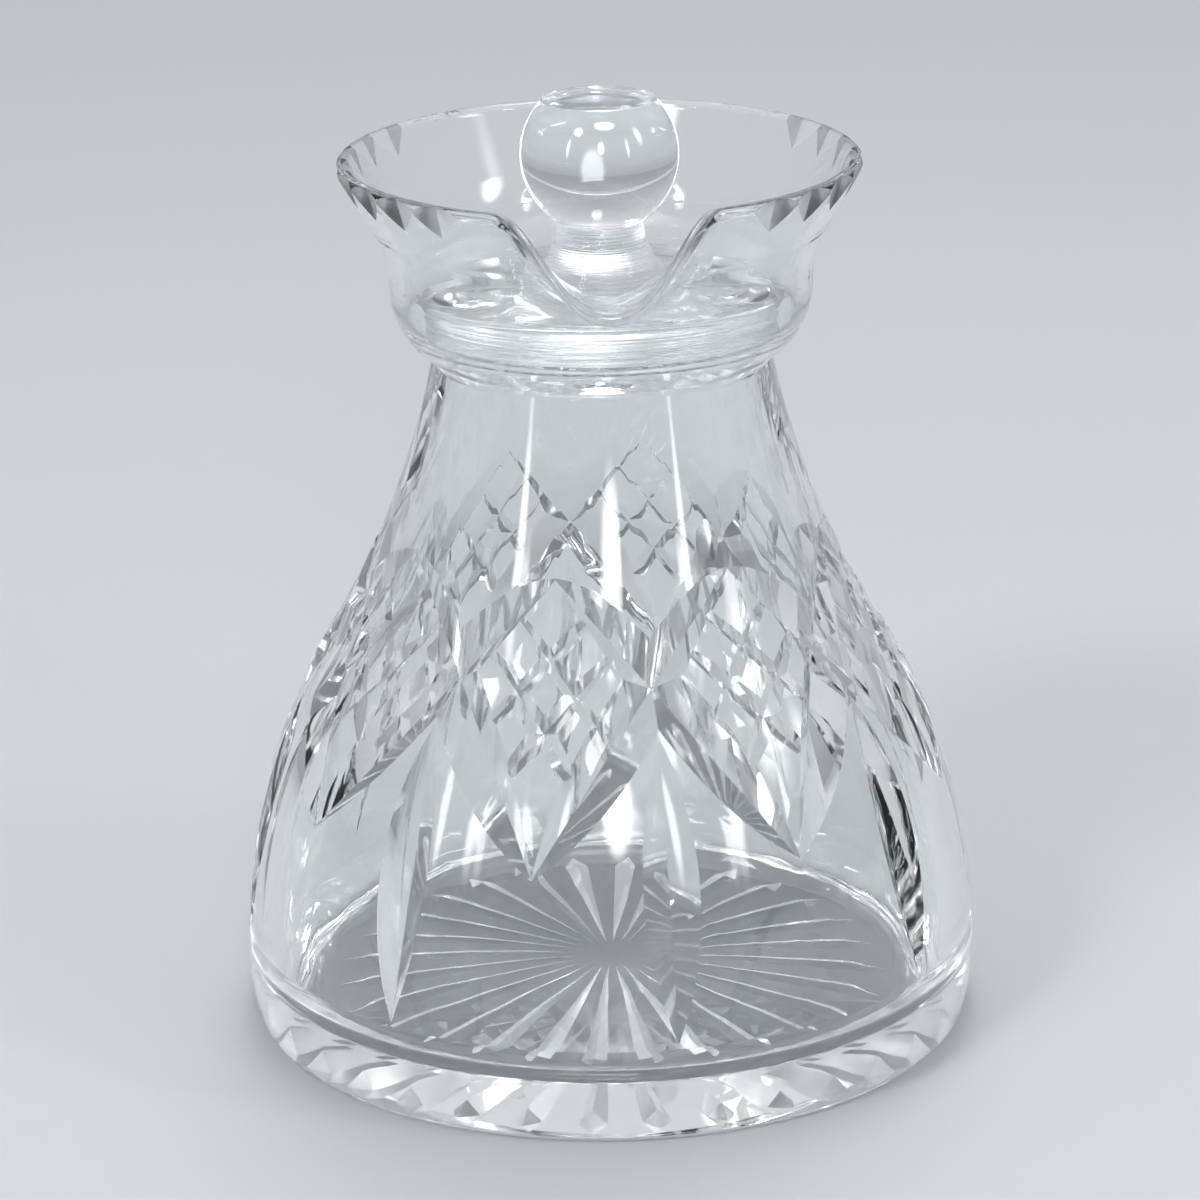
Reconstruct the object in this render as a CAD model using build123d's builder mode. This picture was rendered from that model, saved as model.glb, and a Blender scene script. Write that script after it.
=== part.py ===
"""Cut crystal jug with a loose ground lid.

Frame: origin at the centre of the base on the standing surface, +Z up, spout toward -Y.
All lengths are millimetres. A bearing is the angle round +Z measured from the spout toward +X.
"""
import os
from math import asin, cos, degrees, hypot, radians, sin, sqrt, tan

from build123d import *

# Outside of the jug
body_radius = 72.2
base_inset = 2.2
widest_height = 12.0
base_edge_bevel = 1.0
belly_arc_radius = 128.0
shoulder_angle = 31.0
neck_arc_radius = 173.0
neck_end_angle = 11.333

# Cup above the neck, which holds the lid
collar_step_out = 1.05
collar_step_up = 1.5
cup_arc_radius = 14.9
cup_arc_start = -57.0
cup_wall_height = 2.0

# Mouth of the jug
rim_wall = 2.8
mouth_fold_radius = 18.0
mouth_flare = 30.0
mouth_wall_length = 23.1

# Pulled spout
spout_half_angle = 25.5
spout_fold_radius = 4.0
spout_flare = 83.0
spout_wall_length = 24.8
spout_fullness = 1.15
spout_steps = 6
spout_root_depth = 1.2
spout_root_inset = 0.5
spout_root_swell = 0.15

# Inside of the jug
wall_thickness = 7.0
neck_wall = 3.0
floor_height = 8.7
floor_crown = 4.0
floor_crown_flat = 3.0
floor_corner_radius = 8.0
bore_end_angle = 4.5
seat_rise = 6.2
seat_corner_radius = 3.2

# Lid plate and knob
lid_seat_overlap = 2.0
lid_edge_clearance = 2.8
lid_plate_thickness = 6.8
lid_edge_chamfer = 0.6
waist_radius = 8.5
waist_flare_radius = 12.5
knob_radius = 15.2
knob_meet_rise = 0.9
knob_flat_radius = 10.8

# Cut pattern, its heights as shares of the height of the collar
repeats = 8
pitch = 360.0 / repeats
kite_bearing = -14.3
kite_top_share = 0.7594
kite_foot_share = 0.3797
mitre_half_angle = 53.0
mitre_sink = 0.1
short_half_angle = 58.0
short_sink = 0.6
short_upper = [(7.3, 0.6985), (12.6, 0.6519)]
short_lower = [(-12.2, 0.5617), (-7.1, 0.5015)]
leaf_half_angle = 61.0
leaf_sink = 0.35
leaf_top_share = 0.5489
leaf_foot_share = 0.1624
cutter_height = 9.0
short_cutter_height = 4.0
cutter_run_out = 4.0

# Rim notches
notch_count = 8
notch_first_bearing = 39.0
notch_pitch = 12.0
notch_length = 5.2
notch_depth = 1.2
notch_half_angle = 80.0
notch_cutter_height = 2.5

# Star on the underside, its radii as shares of the base radius
star_rays = 28
star_bearing = -5.8
star_start_share = 0.017
star_widest_share = 0.686
star_end_share = 0.779
star_depth = 1.9
star_half_width = 2.7
star_margin = 0.2


def on_circle(centre, radius, angle):
    """Point on a circle, the angle in degrees from the first axis."""
    return (centre[0] + radius * cos(radians(angle)), centre[1] + radius * sin(radians(angle)))


# Places that follow from the sizes above
base_radius = body_radius - base_inset
belly_centre = (body_radius - belly_arc_radius, widest_height)
foot_arc_radius = (widest_height**2 + base_inset**2) / (2 * base_inset)
foot_centre = (body_radius - foot_arc_radius, widest_height)
shoulder = on_circle(belly_centre, belly_arc_radius, shoulder_angle)
neck_centre = on_circle(belly_centre, belly_arc_radius + neck_arc_radius, shoulder_angle)
collar = on_circle(neck_centre, neck_arc_radius, 180 + neck_end_angle)
collar_height = collar[1]
cup_start = (collar[0] + collar_step_out, collar_height + collar_step_up)
cup_centre = on_circle(cup_start, cup_arc_radius, 180 + cup_arc_start)
cup_radius = cup_centre[0] + cup_arc_radius
fold_height = cup_centre[1] + cup_wall_height
mouth_bore = cup_radius - rim_wall
bore_radius = collar[0] - neck_wall
seat_height = collar_height + seat_rise
lid_foot_radius = bore_radius + lid_seat_overlap
lid_edge_radius = mouth_bore - lid_edge_clearance
lid_plate_top = seat_height + lid_plate_thickness
waist_height = lid_plate_top + waist_flare_radius
knob_meet_height = waist_height + knob_meet_rise
knob_centre = knob_meet_height + sqrt(knob_radius**2 - waist_radius**2)
knob_flat_height = knob_centre + sqrt(knob_radius**2 - knob_flat_radius**2)


def outside_radius(height):
    """Radius of the uncut outside at a height between the widest ring and the collar."""
    if height < widest_height:
        return foot_centre[0] + sqrt(foot_arc_radius**2 - (widest_height - height) ** 2)
    if height < shoulder[1]:
        return belly_centre[0] + sqrt(belly_arc_radius**2 - (height - widest_height) ** 2)
    return neck_centre[0] - sqrt(neck_arc_radius**2 - (neck_centre[1] - height) ** 2)


def bearing_plane(bearing):
    """Upright plane through the axis: first axis outward at the bearing, second axis up."""
    out = Vector(sin(radians(bearing)), -cos(radians(bearing)), 0)
    return Plane(origin=(0, 0, 0), x_dir=out, z_dir=out.cross(Vector(0, 0, 1)))


def surface_point(bearing, height, sink=0.0):
    """Point on the uncut outside, or a little inside it."""
    radius = outside_radius(height) - sink
    return Vector(radius * sin(radians(bearing)), -radius * cos(radians(bearing)), height)


def mouth_points(fold_radius, flare, length):
    """Corners of the flared wall above the fold, in the order used to draw it."""
    angle = radians(flare)
    centre = (cup_radius + fold_radius, fold_height)
    along = (sin(angle), cos(angle))
    inward = (-cos(angle), sin(angle))
    straight = length - fold_radius * angle
    bend_end = (centre[0] - fold_radius * cos(angle), centre[1] + fold_radius * sin(angle))
    tip = (bend_end[0] + straight * along[0], bend_end[1] + straight * along[1])
    crown = (
        tip[0] + rim_wall / 2 * (inward[0] + along[0]),
        tip[1] + rim_wall / 2 * (inward[1] + along[1]),
    )
    inner_tip = (tip[0] + rim_wall * inward[0], tip[1] + rim_wall * inward[1])
    inner_bend = (bend_end[0] + rim_wall * inward[0], bend_end[1] + rim_wall * inward[1])
    half = radians(flare / 2)
    bend_mid = (centre[0] - fold_radius * cos(half), centre[1] + fold_radius * sin(half))
    inner_radius = fold_radius + rim_wall
    inner_mid = (centre[0] - inner_radius * cos(half), centre[1] + inner_radius * sin(half))
    return bend_mid, bend_end, tip, crown, inner_tip, inner_bend, inner_mid


def wedge(foot, head, outward, half_angle, height):
    """V prism with its root along the line from foot to head, opening outward."""
    along = (head - foot).normalized()
    side = along.cross(outward).normalized()
    start = foot - along * cutter_run_out
    length = (head - foot).length + 2 * cutter_run_out
    half_width = height * tan(radians(half_angle))
    opening = side.cross(along)
    sign = 1 if opening.dot(outward) > 0 else -1
    with BuildPart() as prism:
        with BuildSketch(Plane(origin=start, x_dir=side, z_dir=along)):
            with BuildLine():
                Polyline((0, 0), (half_width, -sign * height), (-half_width, -sign * height), close=True)
            make_face()
        extrude(amount=length)
    return prism.part


def outward_normal(point):
    """Direction square to the uncut outside at the height of a point, on its bearing."""
    height = point.Z
    if height < shoulder[1]:
        rise = (height - widest_height) / belly_arc_radius
    else:
        rise = (neck_centre[1] - height) / neck_arc_radius
    level = sqrt(1 - rise**2)
    radius = hypot(point.X, point.Y)
    return Vector(level * point.X / radius, level * point.Y / radius, rise)


def surface_cut(start, end, sink, half_angle, height):
    """Straight V cut between two places on the outside, each a bearing and a height."""
    foot = surface_point(*start, sink)
    head = surface_point(*end, sink)
    return wedge(foot, head, outward_normal((foot + head) / 2), half_angle, height)


# Cutters for one repeat of the pattern
pattern_cutters = []
for turn in (1, -1):
    pattern_cutters.append(
        surface_cut(
            (kite_bearing + turn * pitch, kite_foot_share * collar_height),
            (kite_bearing, kite_top_share * collar_height),
            mitre_sink,
            mitre_half_angle,
            cutter_height,
        )
    )
    for upper, lower in zip(short_upper, short_lower):
        pattern_cutters.append(
            surface_cut(
                (kite_bearing + turn * lower[0], lower[1] * collar_height),
                (kite_bearing + turn * upper[0], upper[1] * collar_height),
                short_sink,
                short_half_angle,
                short_cutter_height,
            )
        )
leaf_bearing = kite_bearing + pitch / 2
pattern_cutters.append(
    surface_cut(
        (leaf_bearing, leaf_foot_share * collar_height),
        (leaf_bearing, leaf_top_share * collar_height),
        leaf_sink,
        leaf_half_angle,
        cutter_height,
    )
)

# Cutters for the rim notches on both sides of the spout
_, _, rim_tip, _, _, _, _ = mouth_points(mouth_fold_radius, mouth_flare, mouth_wall_length)
flare_angle = radians(mouth_flare)
notch_cutters = []
for step in range(notch_count):
    for turn in (1, -1):
        bearing = turn * (notch_first_bearing + step * notch_pitch)
        plane = bearing_plane(bearing)
        foot = plane.from_local_coords(
            Vector(rim_tip[0] - notch_length * sin(flare_angle), rim_tip[1] - notch_length * cos(flare_angle), 0)
        )
        head = plane.from_local_coords(
            Vector(rim_tip[0] - notch_depth * cos(flare_angle), rim_tip[1] + notch_depth * sin(flare_angle), 0)
        )
        outward = plane.to_local_coords(Vector(0, 0, 0)) + plane.x_dir * cos(flare_angle)
        outward = outward - Vector(0, 0, sin(flare_angle))
        notch_cutters.append(wedge(foot, head, outward, notch_half_angle, notch_cutter_height))

# One ray of the star, opening downward
star_widest = star_widest_share * base_radius
with BuildPart() as star_ray:
    with BuildSketch(Plane(origin=(star_widest, 0, 0), x_dir=(0, 1, 0), z_dir=(1, 0, 0))) as ray_section:
        with BuildLine():
            Polyline(
                (-star_half_width, -star_margin),
                (0, star_depth),
                (star_half_width, -star_margin),
                close=True,
            )
        make_face()
    loft(
        sections=[
            Vertex(star_start_share * base_radius, 0, -star_margin),
            ray_section.sketch.face(),
            Vertex(star_end_share * base_radius, 0, -star_margin),
        ],
        ruled=True,
    )

# The jug
with BuildPart() as jug_body:
    # Outside and inside up to the fold, as one turned profile
    inner_belly_radius = belly_arc_radius - wall_thickness
    inner_shoulder = on_circle(belly_centre, inner_belly_radius, shoulder_angle)
    corner_height = floor_height + floor_corner_radius
    corner_centre = (
        belly_centre[0]
        + sqrt((inner_belly_radius - floor_corner_radius) ** 2 - (corner_height - widest_height) ** 2),
        corner_height,
    )
    corner_angle = degrees(asin((corner_height - widest_height) / (inner_belly_radius - floor_corner_radius)))
    floor_corner_end = on_circle(belly_centre, inner_belly_radius, corner_angle)
    inner_neck_arc_radius = (inner_shoulder[0] - bore_radius) / (
        cos(radians(bore_end_angle)) - cos(radians(shoulder_angle))
    )
    inner_neck_centre = on_circle(
        belly_centre, inner_belly_radius + inner_neck_arc_radius, shoulder_angle
    )
    bore_foot = on_circle(inner_neck_centre, inner_neck_arc_radius, 180 + bore_end_angle)
    seat_corner = (mouth_bore - seat_corner_radius, seat_height + seat_corner_radius)
    foot_start_angle = -degrees(asin((widest_height - base_edge_bevel) / foot_arc_radius))
    foot_start = on_circle(foot_centre, foot_arc_radius, foot_start_angle)
    with BuildSketch(Plane.XZ):
        with BuildLine():
            Polyline((0, 0), (foot_start[0] - base_edge_bevel, 0), foot_start)
            ThreePointArc(
                foot_start,
                on_circle(foot_centre, foot_arc_radius, foot_start_angle / 2),
                (body_radius, widest_height),
            )
            ThreePointArc(
                (body_radius, widest_height),
                on_circle(belly_centre, belly_arc_radius, shoulder_angle / 2),
                shoulder,
            )
            ThreePointArc(
                shoulder,
                on_circle(neck_centre, neck_arc_radius, 180 + (shoulder_angle + neck_end_angle) / 2),
                collar,
            )
            Line(collar, cup_start)
            ThreePointArc(
                cup_start,
                on_circle(cup_centre, cup_arc_radius, cup_arc_start / 2),
                (cup_radius, cup_centre[1]),
            )
            Polyline(
                (cup_radius, cup_centre[1]),
                (cup_radius, fold_height),
                (mouth_bore, fold_height),
                (mouth_bore, seat_corner[1]),
            )
            ThreePointArc(
                (mouth_bore, seat_corner[1]),
                on_circle(seat_corner, seat_corner_radius, -45),
                (seat_corner[0], seat_height),
            )
            Line((seat_corner[0], seat_height), (bore_radius, seat_height))
            Line((bore_radius, seat_height), bore_foot)
            ThreePointArc(
                bore_foot,
                on_circle(inner_neck_centre, inner_neck_arc_radius, 180 + (bore_end_angle + shoulder_angle) / 2),
                inner_shoulder,
            )
            ThreePointArc(
                inner_shoulder,
                on_circle(belly_centre, inner_belly_radius, (shoulder_angle + corner_angle) / 2),
                floor_corner_end,
            )
            ThreePointArc(
                floor_corner_end,
                on_circle(corner_centre, floor_corner_radius, (corner_angle - 90) / 2),
                (corner_centre[0], floor_height),
            )
            ThreePointArc(
                (corner_centre[0], floor_height),
                (corner_centre[0] / 2, floor_height + floor_crown * 3 / 4),
                (floor_crown_flat, floor_height + floor_crown),
            )
            Polyline((floor_crown_flat, floor_height + floor_crown), (0, floor_height + floor_crown), (0, 0))
        make_face()
    revolve(axis=Axis.Z)
    # Flared mouth all round except over the spout
    bend_mid, bend_end, tip, crown, inner_tip, inner_bend, inner_mid = mouth_points(
        mouth_fold_radius, mouth_flare, mouth_wall_length
    )
    with BuildSketch(bearing_plane(spout_half_angle)):
        with BuildLine():
            ThreePointArc((cup_radius, fold_height), bend_mid, bend_end)
            Line(bend_end, tip)
            ThreePointArc(tip, crown, inner_tip)
            Line(inner_tip, inner_bend)
            ThreePointArc(inner_bend, inner_mid, (mouth_bore, fold_height))
            Line((mouth_bore, fold_height), (cup_radius, fold_height))
        make_face()
    revolve(axis=Axis.Z, revolution_arc=360 - 2 * spout_half_angle)

# The pulled spout, drawn on upright planes through the axis
with BuildPart() as spout:
    for step in range(-spout_steps, spout_steps + 1):
        bearing = spout_half_angle * step / spout_steps
        pull = cos(radians(90 * (abs(step) / spout_steps) ** spout_fullness)) ** 2
        swell = 0 if abs(step) == spout_steps else spout_root_swell
        bend_mid, bend_end, tip, crown, inner_tip, inner_bend, inner_mid = mouth_points(
            mouth_fold_radius + pull * (spout_fold_radius - mouth_fold_radius),
            mouth_flare + pull * (spout_flare - mouth_flare),
            mouth_wall_length + pull * (spout_wall_length - mouth_wall_length),
        )
        outer_root = (cup_radius + swell, fold_height)
        inner_root = (mouth_bore - swell, fold_height)
        with BuildSketch(bearing_plane(bearing)):
            with BuildLine():
                ThreePointArc(outer_root, bend_mid, bend_end)
                Line(bend_end, tip)
                ThreePointArc(tip, crown, inner_tip)
                Line(inner_tip, inner_bend)
                ThreePointArc(inner_bend, inner_mid, inner_root)
                Polyline(
                    inner_root,
                    (mouth_bore + spout_root_inset, fold_height - spout_root_depth),
                    (cup_radius - spout_root_inset, fold_height - spout_root_depth),
                    outer_root,
                )
            make_face()
    loft()

with jug_body:
    add(spout.part)
    with PolarLocations(radius=0, count=repeats):
        add(pattern_cutters, mode=Mode.SUBTRACT)
    add(notch_cutters, mode=Mode.SUBTRACT)
    with PolarLocations(radius=0, count=star_rays, start_angle=star_bearing - 90):
        add(star_ray.part, mode=Mode.SUBTRACT)

# The lid plate with its flared waist
with BuildPart() as lid_plate:
    with BuildSketch(Plane.XZ):
        with BuildLine():
            Polyline(
                (0, waist_height),
                (0, seat_height),
                (lid_foot_radius, seat_height),
                (lid_edge_radius, lid_plate_top - lid_edge_chamfer),
                (lid_edge_radius - lid_edge_chamfer, lid_plate_top),
                (waist_radius + waist_flare_radius, lid_plate_top),
            )
            ThreePointArc(
                (waist_radius + waist_flare_radius, lid_plate_top),
                on_circle(
                    (waist_radius + waist_flare_radius, waist_height),
                    waist_flare_radius,
                    225,
                ),
                (waist_radius, waist_height),
            )
            Line((waist_radius, waist_height), (0, waist_height))
        make_face()
    revolve(axis=Axis.Z)

# The ball knob with its polished flat top
with BuildPart() as lid_knob:
    with BuildSketch(Plane.XZ):
        with BuildLine():
            Polyline((0, waist_height), (waist_radius, waist_height), (waist_radius, knob_meet_height))
            ThreePointArc(
                (waist_radius, knob_meet_height),
                (knob_radius, knob_centre),
                (knob_flat_radius, knob_flat_height),
            )
            Polyline((knob_flat_radius, knob_flat_height), (0, knob_flat_height), (0, waist_height))
        make_face()
    revolve(axis=Axis.Z)

jug_body.part.label = "jug_body"
lid_plate.part.label = "lid_plate"
lid_knob.part.label = "lid_knob"

os.makedirs("parts", exist_ok=True)
export_step(jug_body.part, "parts/jug_body.step")
export_step(lid_plate.part, "parts/lid_plate.step")
export_step(lid_knob.part, "parts/lid_knob.step")
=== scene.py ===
"""Cut crystal jug with a loose ground lid, dressed for rendering.

Metres, Z up, spout toward -Y.
"""

import math

import bmesh
import bpy
from mathutils import Matrix, Vector


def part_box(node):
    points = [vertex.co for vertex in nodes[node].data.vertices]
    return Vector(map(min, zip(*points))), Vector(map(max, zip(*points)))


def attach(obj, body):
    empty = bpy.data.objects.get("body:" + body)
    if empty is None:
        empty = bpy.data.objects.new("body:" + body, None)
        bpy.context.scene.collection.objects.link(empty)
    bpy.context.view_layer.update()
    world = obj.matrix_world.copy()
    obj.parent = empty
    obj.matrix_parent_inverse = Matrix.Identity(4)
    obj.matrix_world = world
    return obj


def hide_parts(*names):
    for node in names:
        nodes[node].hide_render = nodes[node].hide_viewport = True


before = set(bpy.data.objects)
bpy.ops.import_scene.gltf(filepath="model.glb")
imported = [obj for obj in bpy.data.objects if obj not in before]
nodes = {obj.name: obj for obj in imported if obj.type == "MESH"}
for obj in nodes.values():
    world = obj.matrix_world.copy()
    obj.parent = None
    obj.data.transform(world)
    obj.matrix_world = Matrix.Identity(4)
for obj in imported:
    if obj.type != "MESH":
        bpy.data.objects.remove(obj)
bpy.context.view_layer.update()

# Camera fitted to the photograph, turned so that the spout points to -Y
CAMERA_DISTANCE = 0.8536566
CAMERA_HEIGHT = 0.37303
CAMERA_SHIFT = -0.0011531
CAMERA_FOCAL_PX = 4622.312
CAMERA_PITCH = 0.3275
CAMERA_ROLL = 0.016
CAMERA_BEARING = -1.5
FRAME_PX = 1200.0
SENSOR = 36.0

# Stage: floor in metres, its paint, and the sky from the horizon upward
REACH = 6.0
FLOOR_DROP = 0.0002
FLOOR_ROUGHNESS = 0.55
FLOOR_COLOUR = (0.52, 0.54, 0.56, 1)
SKY_STRENGTH = 0.8
SKY_LOW = (0.36, 0.38, 0.41, 1)
SKY_HIGH = (0.95, 0.96, 0.98, 1)
SKY_HIGH_AT = 0.75

# Lamps: name, place, point aimed at, width and height in metres, power in watts
LAMPS = (
    ("key", (-0.9, -1.1, 1.4), (0, 0, 0.08), (0.5, 0.5), 12),
    ("front", (0.03, -1.15, 0.60), (0, 0, 0.10), (0.28, 0.5), 4),
    ("strip_left", (-0.95, -0.85, 0.55), (0, 0, 0.10), (0.14, 0.8), 2),
    ("strip_right", (0.85, -0.95, 0.55), (0, 0, 0.10), (0.14, 0.8), 2),
    ("fill", (1.3, -0.6, 0.9), (0, 0, 0.08), (0.4, 0.9), 5),
    ("top", (0.1, 0.5, 1.6), (0, 0, 0.1), (0.9, None), 10),
)
LAMP_MIDDLE = (0.5, 0.5, 0.0)
LAMP_CORE = 0.1
LAMP_EDGE = 0.5
LAMP_GAIN = 2.5

# Light turns many times inside thick crystal
MOST_BOUNCES = 24
GLOSSY_BOUNCES = 16

# Crystal: index of lead glass, and the faint cool tint of each piece
CRYSTAL_IOR = 1.54
CLEAR_TINT = (0.97, 0.987, 0.987)
PLATE_TINT = (0.96, 0.98, 0.985)
PLATE_ROUGHNESS = 0.03

# Turned lines, in metres: spacing, and the heights they run between
LINE_FADE = 0.001
LINE_DEPTH = 0.0006
LINE_STRETCH = 8.0
LINE_DETAIL = 3.0
PLATE_LINES = {"spacing": 0.0005, "strength": 0.55, "low": 0.1395, "high": 0.1590}
WAIST_LINES = {"spacing": 0.0007, "strength": 0.8, "low": 0.1560, "high": 0.1610}

# How polished the cuts are: rim notches beside the spout, star rays, and kites and leaves
RIM_CUT_LOW = 0.156
SPOUT_CLEAR = 0.026
RIM_FROST = 0.5
STAR_TOP = 0.0026
STAR_FROST = 0.14
PATTERN_TOP = 0.11
PATTERN_FROST = 0.06
LEAF_TOP = 0.045
LEAF_FROST = 0.06
LEAF_FADE = 0.01
STAR_FADE = 0.0005
STAR_CLEAR = 0.002
CUT_FADE = 0.001
CUT_TURN_START = 0.05
CUT_TURN_FULL = 0.12

# Lid, in metres; its other sizes are read off the CAD nodes
LID_AIR_GAP = 0.00015
PLATE_THICKNESS = 0.0068
PLATE_FOOT_RADIUS = 0.0316
WAIST_RADIUS = 0.0085
KNOB_FLAT_RADIUS = 0.0108
FOOT_BEVEL = 0.0003
EDGE_BEVEL = 0.0006
FLAT_BEVEL = 0.0003
WAIST_STEPS = 24
KNOB_STEPS = 60
TURN_STEPS = 256
SHARP_ANGLE = 28.0
ON_AXIS = 1e-9


def new_material(name):
    """An empty node material."""
    material = bpy.data.materials.new(name)
    material.use_nodes = True
    material.node_tree.nodes.clear()
    return material


def node(material, kind, **values):
    """Adds a node and sets its inputs by name."""
    made = material.node_tree.nodes.new(kind)
    for key, value in values.items():
        made.inputs[key.replace("_", " ")].default_value = value
    return made


def link(material, source, target):
    material.node_tree.links.new(source, target)


def crystal(name, colour, roughness):
    """Clear lead crystal, with its shader node."""
    material = new_material(name)
    out = material.node_tree.nodes.new("ShaderNodeOutputMaterial")
    glass = node(material, "ShaderNodeBsdfPrincipled", Roughness=roughness, IOR=CRYSTAL_IOR)
    glass.inputs["Base Color"].default_value = (*colour, 1)
    glass.inputs["Transmission Weight"].default_value = 1.0
    link(material, glass.outputs["BSDF"], out.inputs["Surface"])
    return material, glass


def turned_lines(material, glass_node, spacing, strength, low, high):
    """Fine lines round the axis between two heights, as left by grinding or by the hot joint."""
    place = material.node_tree.nodes.new("ShaderNodeTexCoord")
    stretch = node(material, "ShaderNodeMapping")
    stretch.inputs["Scale"].default_value = (LINE_STRETCH, LINE_STRETCH, 1.0 / spacing)
    link(material, place.outputs["Object"], stretch.inputs["Vector"])
    noise = node(material, "ShaderNodeTexNoise", Scale=1.0, Detail=LINE_DETAIL)
    link(material, stretch.outputs["Vector"], noise.inputs["Vector"])
    split = material.node_tree.nodes.new("ShaderNodeSeparateXYZ")
    link(material, place.outputs["Object"], split.inputs["Vector"])
    rise = node(material, "ShaderNodeMapRange")
    rise.interpolation_type = "SMOOTHSTEP"
    rise.inputs["From Min"].default_value = low - LINE_FADE
    rise.inputs["From Max"].default_value = low
    link(material, split.outputs["Z"], rise.inputs["Value"])
    fall = node(material, "ShaderNodeMapRange")
    fall.interpolation_type = "SMOOTHSTEP"
    fall.inputs["From Min"].default_value = high
    fall.inputs["From Max"].default_value = high + LINE_FADE
    fall.inputs["To Min"].default_value = 1.0
    fall.inputs["To Max"].default_value = 0.0
    link(material, split.outputs["Z"], fall.inputs["Value"])
    band = material.node_tree.nodes.new("ShaderNodeMath")
    band.operation = "MULTIPLY"
    link(material, rise.outputs["Result"], band.inputs[0])
    link(material, fall.outputs["Result"], band.inputs[1])
    amount = material.node_tree.nodes.new("ShaderNodeMath")
    amount.operation = "MULTIPLY"
    amount.inputs[1].default_value = strength
    link(material, band.outputs["Value"], amount.inputs[0])
    bump = node(material, "ShaderNodeBump", Distance=LINE_DEPTH)
    link(material, noise.outputs["Fac"], bump.inputs["Height"])
    link(material, amount.outputs["Value"], bump.inputs["Strength"])
    link(material, bump.outputs["Normal"], glass_node.inputs["Normal"])


def sum_node(material, operation, first, second):
    """A Math node; each input is a socket or a number."""
    made = material.node_tree.nodes.new("ShaderNodeMath")
    made.operation = operation
    for place, value in enumerate((first, second)):
        if isinstance(value, (int, float)):
            made.inputs[place].default_value = value
        else:
            link(material, value, made.inputs[place])
    return made.outputs["Value"]


def step_node(material, value, start, end):
    """Goes smoothly from 0 at start to 1 at end."""
    made = node(material, "ShaderNodeMapRange")
    made.interpolation_type = "SMOOTHSTEP"
    made.inputs["From Min"].default_value = start
    made.inputs["From Max"].default_value = end
    link(material, value, made.inputs["Value"])
    return made.outputs["Result"]


def frost_cuts(material, glass_node):
    """The wheel leaves its cuts a little less polished than the blown and turned faces.

    A cut face is told by its normal, which turns sideways from the axis.
    """
    tree = material.node_tree
    place = tree.nodes.new("ShaderNodeTexCoord").outputs["Object"]
    split = tree.nodes.new("ShaderNodeSeparateXYZ")
    link(material, place, split.inputs["Vector"])
    round_about = tree.nodes.new("ShaderNodeVectorMath")
    round_about.operation = "CROSS_PRODUCT"
    round_about.inputs[0].default_value = (0, 0, 1)
    link(material, place, round_about.inputs[1])
    unit = tree.nodes.new("ShaderNodeVectorMath")
    unit.operation = "NORMALIZE"
    link(material, round_about.outputs["Vector"], unit.inputs[0])
    sideways = tree.nodes.new("ShaderNodeVectorMath")
    sideways.operation = "DOT_PRODUCT"
    link(material, unit.outputs["Vector"], sideways.inputs[0])
    link(material, tree.nodes.new("ShaderNodeNewGeometry").outputs["Normal"], sideways.inputs[1])
    turned_away = sum_node(material, "ABSOLUTE", sideways.outputs["Value"], 0.0)
    cut_face = step_node(material, turned_away, CUT_TURN_START, CUT_TURN_FULL)
    high = step_node(material, split.outputs["Z"], RIM_CUT_LOW, RIM_CUT_LOW + CUT_FADE)
    off_spout = sum_node(material, "ABSOLUTE", split.outputs["X"], 0.0)
    beside = step_node(material, off_spout, SPOUT_CLEAR, SPOUT_CLEAR + CUT_FADE)
    rim = sum_node(material, "MULTIPLY", high, beside)
    foot = step_node(material, split.outputs["Z"], STAR_TOP, STAR_TOP - STAR_FADE)
    rim_frost = sum_node(material, "MULTIPLY", rim, RIM_FROST)
    star_frost = sum_node(material, "MULTIPLY", foot, STAR_FROST)
    pattern = step_node(material, split.outputs["Z"], PATTERN_TOP, PATTERN_TOP - CUT_FADE)
    pattern_frost = sum_node(material, "MULTIPLY", pattern, PATTERN_FROST)
    below = step_node(material, split.outputs["Z"], LEAF_TOP, LEAF_TOP - LEAF_FADE)
    above = step_node(material, split.outputs["Z"], STAR_TOP, STAR_TOP + STAR_CLEAR)
    leaf = sum_node(material, "MULTIPLY", below, above)
    leaf_frost = sum_node(material, "MULTIPLY", leaf, LEAF_FROST)
    ends = sum_node(material, "ADD", rim_frost, star_frost)
    sides = sum_node(material, "ADD", pattern_frost, leaf_frost)
    whole = sum_node(material, "ADD", ends, sides)
    frost = sum_node(material, "MULTIPLY", whole, cut_face)
    link(material, frost, glass_node.inputs["Roughness"])


jug_glass, jug_node = crystal("jug_crystal", CLEAR_TINT, 0.0)
frost_cuts(jug_glass, jug_node)
plate_glass, plate_node = crystal("plate_crystal", PLATE_TINT, PLATE_ROUGHNESS)
turned_lines(plate_glass, plate_node, **PLATE_LINES)
knob_glass, knob_node = crystal("knob_crystal", CLEAR_TINT, 0.0)
turned_lines(knob_glass, knob_node, **WAIST_LINES)

node_glass = {"jug_body": jug_glass, "lid_plate": plate_glass, "lid_knob": knob_glass}
for name, material in node_glass.items():
    nodes[name].material_slots[0].material = material


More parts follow.
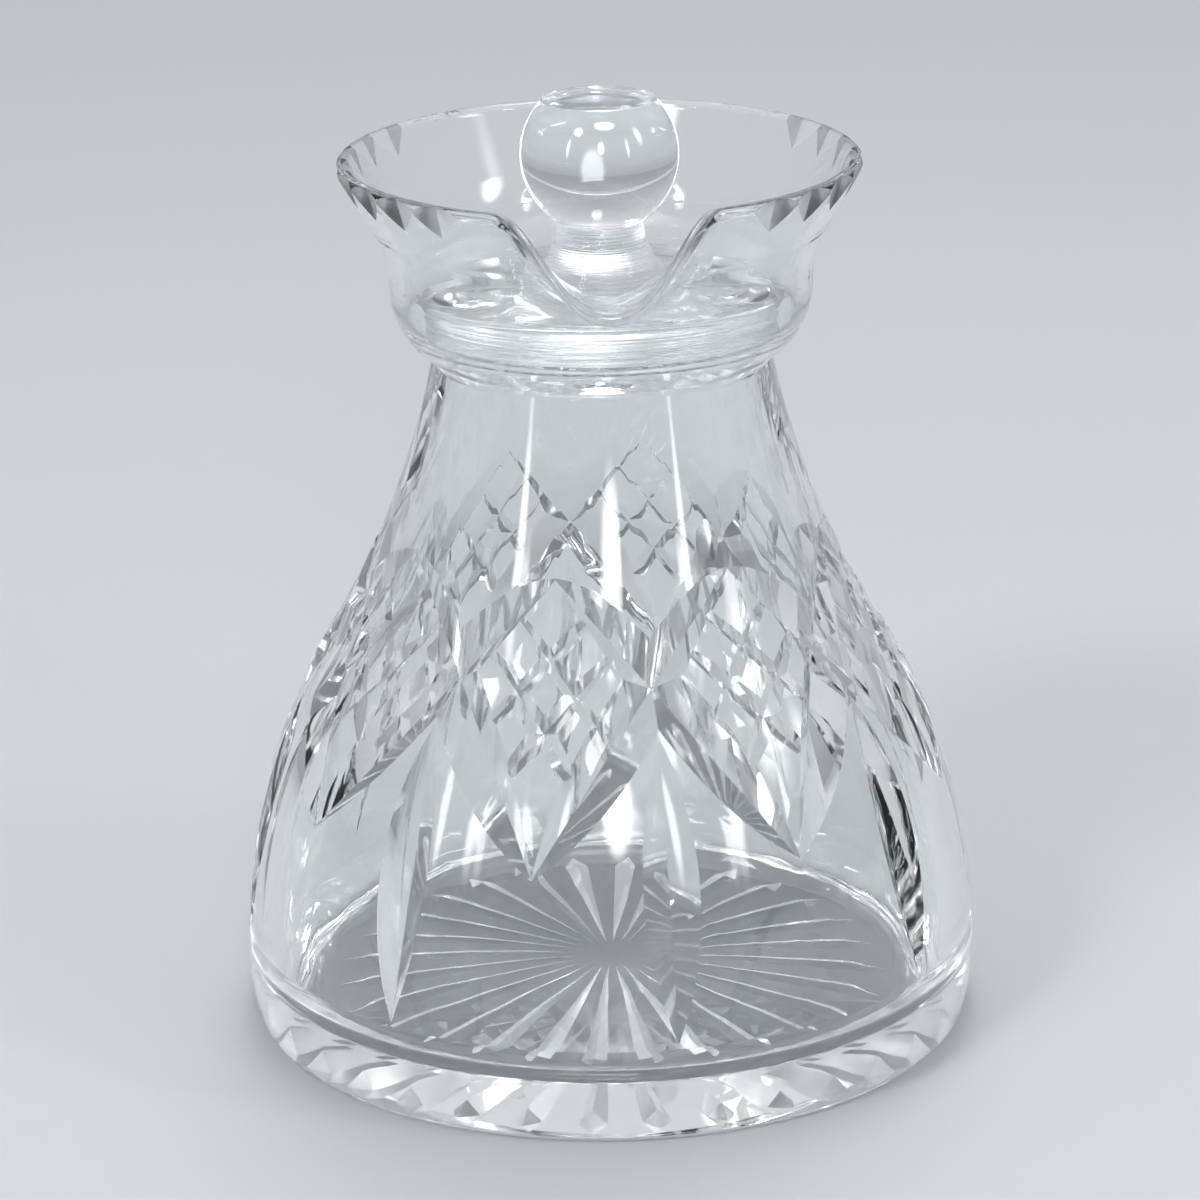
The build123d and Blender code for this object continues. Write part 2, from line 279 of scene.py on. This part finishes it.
def turned(name, profile, material, steps=TURN_STEPS, sharp=SHARP_ANGLE):
    """A lathe piece from (radius, height) pairs in metres; an end off the axis stays open."""
    mesh = bpy.data.meshes.new(name)
    shape = bmesh.new()
    rings = []
    for radius, height in profile:
        if radius < ON_AXIS:
            rings.append([shape.verts.new((0, 0, height))])
            continue
        ring = []
        for step in range(steps):
            turn = 2 * math.pi * step / steps
            point = (radius * math.cos(turn), radius * math.sin(turn), height)
            ring.append(shape.verts.new(point))
        rings.append(ring)
    for lower, upper in zip(rings, rings[1:]):
        for step in range(steps):
            after = (step + 1) % steps
            if len(lower) == 1:
                shape.faces.new((lower[0], upper[after], upper[step]))
            elif len(upper) == 1:
                shape.faces.new((lower[step], lower[after], upper[0]))
            else:
                shape.faces.new((lower[step], lower[after], upper[after], upper[step]))
    for face in shape.faces:
        face.smooth = True
    for edge in shape.edges:
        if len(edge.link_faces) == 2 and edge.calc_face_angle() > math.radians(sharp):
            edge.smooth = False
    shape.to_mesh(mesh)
    shape.free()
    mesh.materials.append(material)
    piece = bpy.data.objects.new(name, mesh)
    bpy.context.scene.collection.objects.link(piece)
    return piece


def arc(centre, radius, start, end, steps):
    """Points on a circle, angles in degrees."""
    points = []
    for step in range(steps + 1):
        turn = math.radians(start + (end - start) * step / steps)
        points.append((centre[0] + radius * math.cos(turn), centre[1] + radius * math.sin(turn)))
    return points


# Lid without the inner faces at the hot joint, so that light passes from knob to plate
seat_low, seat_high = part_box("lid_plate")
knob_low, knob_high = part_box("lid_knob")
plate_foot = seat_low[2] + LID_AIR_GAP
plate_top = seat_low[2] + PLATE_THICKNESS
plate_edge = seat_high[0]
joint = knob_low[2]
flare = joint - plate_top
knob_middle = knob_high[2] - math.sqrt(knob_high[0] ** 2 - KNOB_FLAT_RADIUS**2)
knob_foot_angle = -math.degrees(math.acos(WAIST_RADIUS / knob_high[0]))
knob_top_angle = math.degrees(math.acos(KNOB_FLAT_RADIUS / knob_high[0]))
plate_profile = [(0, plate_foot), (PLATE_FOOT_RADIUS - FOOT_BEVEL, plate_foot)]
plate_profile += [(PLATE_FOOT_RADIUS, plate_foot + FOOT_BEVEL)]
plate_profile += [(plate_edge, plate_top - EDGE_BEVEL)]
plate_profile += [(plate_edge - EDGE_BEVEL, plate_top)]
plate_profile += arc((WAIST_RADIUS + flare, joint), flare, 270, 180, WAIST_STEPS)
lid_plate_glass = turned("lid_plate_glass", plate_profile, plate_glass)
knob_profile = [(WAIST_RADIUS, joint)]
knob_profile += arc((0, knob_middle), knob_high[0], knob_foot_angle, knob_top_angle, KNOB_STEPS)
knob_profile += [(KNOB_FLAT_RADIUS - FLAT_BEVEL, knob_high[2]), (0, knob_high[2])]
lid_knob_glass = turned("lid_knob_glass", knob_profile, knob_glass)
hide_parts("lid_plate")
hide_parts("lid_knob")
for piece, slot_name in ((lid_plate_glass, "plate_crystal"), (lid_knob_glass, "knob_crystal")):
    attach(piece, "lid")

# Floor, just under the jug so that the two faces don't coincide
floor_mesh = bpy.data.meshes.new("floor")
floor_mesh.from_pydata(
    [(-REACH, -REACH, 0), (REACH, -REACH, 0), (REACH, REACH, 0), (-REACH, REACH, 0)],
    [],
    [(0, 1, 2, 3)],
)
floor = bpy.data.objects.new("floor", floor_mesh)
floor.location.z = -FLOOR_DROP
bpy.context.scene.collection.objects.link(floor)
floor_paint = new_material("floor_paint")
floor_out = floor_paint.node_tree.nodes.new("ShaderNodeOutputMaterial")
floor_face = node(floor_paint, "ShaderNodeBsdfPrincipled", Roughness=FLOOR_ROUGHNESS)
floor_face.inputs["Base Color"].default_value = FLOOR_COLOUR
link(floor_paint, floor_face.outputs["BSDF"], floor_out.inputs["Surface"])
floor_mesh.materials.append(floor_paint)

world = bpy.data.worlds.new("studio")
bpy.context.scene.world = world
world.use_nodes = True
sky = world.node_tree
back = sky.nodes["Background"]
back.inputs["Strength"].default_value = SKY_STRENGTH
aim = sky.nodes.new("ShaderNodeTexCoord")
split = sky.nodes.new("ShaderNodeSeparateXYZ")
ramp = sky.nodes.new("ShaderNodeValToRGB")
ramp.color_ramp.elements[0].position = 0.0
ramp.color_ramp.elements[0].color = SKY_LOW
ramp.color_ramp.elements[1].position = SKY_HIGH_AT
ramp.color_ramp.elements[1].color = SKY_HIGH
sky.links.new(aim.outputs["Generated"], split.inputs["Vector"])
sky.links.new(split.outputs["Z"], ramp.inputs["Fac"])
sky.links.new(ramp.outputs["Color"], back.inputs["Color"])


def area(name, where, aim, size, power):
    """A lamp facing a point, brightest in its middle and fading to its edges as a softbox does.

    A lamp with no height is a square.
    """
    width, height = size
    data = bpy.data.lights.new(name, "AREA")
    data.energy = power
    data.size = width
    if height:
        data.shape = "RECTANGLE"
        data.size_y = height
    data.use_nodes = True
    tree = data.node_tree
    spot = tree.nodes.new("ShaderNodeNewGeometry")
    middle = tree.nodes.new("ShaderNodeVectorMath")
    middle.operation = "DISTANCE"
    middle.inputs[1].default_value = LAMP_MIDDLE
    fade = tree.nodes.new("ShaderNodeMapRange")
    fade.interpolation_type = "SMOOTHSTEP"
    fade.inputs["From Min"].default_value = LAMP_CORE
    fade.inputs["From Max"].default_value = LAMP_EDGE
    fade.inputs["To Min"].default_value = LAMP_GAIN
    fade.inputs["To Max"].default_value = 0.0
    tree.links.new(spot.outputs["Parametric"], middle.inputs[0])
    tree.links.new(middle.outputs["Value"], fade.inputs["Value"])
    tree.links.new(fade.outputs["Result"], tree.nodes["Emission"].inputs["Strength"])
    lamp = bpy.data.objects.new(name, data)
    lamp.location = where
    lamp.rotation_euler = (Vector(aim) - Vector(where)).to_track_quat("-Z", "Y").to_euler()
    bpy.context.scene.collection.objects.link(lamp)


for lamp_name, where, aim, size, power in LAMPS:
    area(lamp_name, where, aim, size, power)

# Camera
bearing = math.radians(CAMERA_BEARING)
level = Vector((-math.sin(bearing), math.cos(bearing), 0))
right = Vector((math.cos(bearing), math.sin(bearing), 0))
up_axis = Vector((0, 0, 1))
ahead = level * math.cos(CAMERA_PITCH) - up_axis * math.sin(CAMERA_PITCH)
above = level * math.sin(CAMERA_PITCH) + up_axis * math.cos(CAMERA_PITCH)
cos_roll = math.cos(CAMERA_ROLL)
sin_roll = math.sin(CAMERA_ROLL)
camera_right = right * cos_roll - above * sin_roll
camera_up = right * sin_roll + above * cos_roll
place = -level * CAMERA_DISTANCE + right * CAMERA_SHIFT + up_axis * CAMERA_HEIGHT
camera_data = bpy.data.cameras.new("camera")
camera = bpy.data.objects.new("camera", camera_data)
bpy.context.scene.collection.objects.link(camera)
camera.matrix_world = Matrix(
    (
        (camera_right.x, camera_up.x, -ahead.x, place.x),
        (camera_right.y, camera_up.y, -ahead.y, place.y),
        (camera_right.z, camera_up.z, -ahead.z, place.z),
        (0, 0, 0, 1),
    )
)
camera_data.sensor_width = SENSOR
camera_data.sensor_fit = "HORIZONTAL"
camera_data.lens = SENSOR * CAMERA_FOCAL_PX / FRAME_PX
bpy.context.scene.camera = camera

paths = bpy.context.scene.cycles
paths.max_bounces = MOST_BOUNCES
paths.glossy_bounces = GLOSSY_BOUNCES
paths.transmission_bounces = MOST_BOUNCES

bpy.context.scene.view_settings.view_transform = "Standard"
